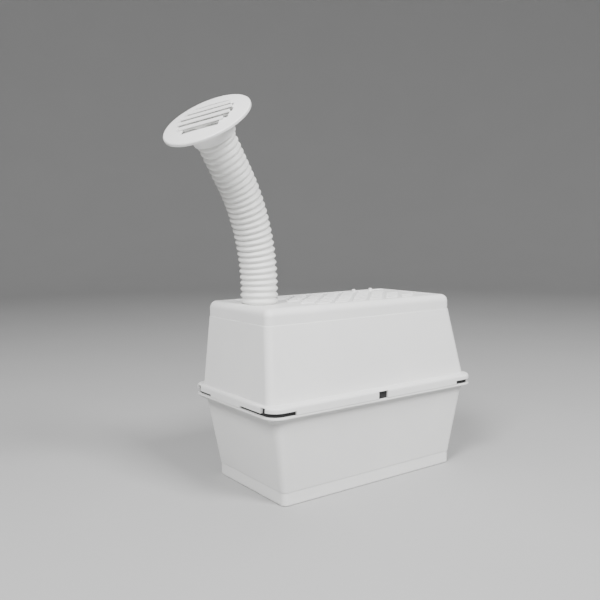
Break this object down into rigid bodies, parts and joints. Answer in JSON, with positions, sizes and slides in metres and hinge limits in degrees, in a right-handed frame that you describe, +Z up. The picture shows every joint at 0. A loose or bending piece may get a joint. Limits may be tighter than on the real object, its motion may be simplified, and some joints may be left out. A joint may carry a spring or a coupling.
{
  "type": "vented battery box",
  "caption": "Tapered plastic battery box with a sealed lift-off lid, a corrugated vent hose rising from the lid and a round louvred vent head on the hose's end.",
  "frame": {"origin": "centre of the tray's flat underside", "axes": "+Z up, X along the box's long side with the hose at -X, Y across it"},
  "size_m": [0.4998, 0.2246, 0.5696],
  "materials": {
    "tray_plastic": "satin moulded polypropylene",
    "lid_plastic": "satin moulded polypropylene",
    "seal_rubber": "matte black rubber",
    "hose_plastic": "satin blow-moulded polyethylene",
    "vent_plastic": "semi-gloss moulded ABS"
  },
  "bodies": {
    "tray": {"base_tray": "tray_plastic"},
    "lid": {"lid_cover": "lid_plastic", "rim_seal": "seal_rubber", "vent_hose": "hose_plastic"},
    "vent_head": {"vent_flange": "vent_plastic"},
    "louvre": {"vent_cover": "vent_plastic"}
  },
  "joints": [
    {"name": "lid_lift", "type": "slide", "parent": "tray", "child": "lid", "axis": [0, 0, 1], "range_m": [0, 0.26]},
    {"name": "hose_bend", "type": "hinge", "parent": "lid", "child": "vent_head", "pos_m": [-0.16959, -0.00944, 0.41287], "axis": [0.3584, -0.9336, 0], "range_deg": [-30, 25], "deforming": ["vent_hose"]},
    {"name": "cover_snap", "type": "slide", "parent": "vent_head", "child": "louvre", "axis": [-0.5683, -0.2182, 0.7934], "range_m": [0, 0.02]}
  ]
}
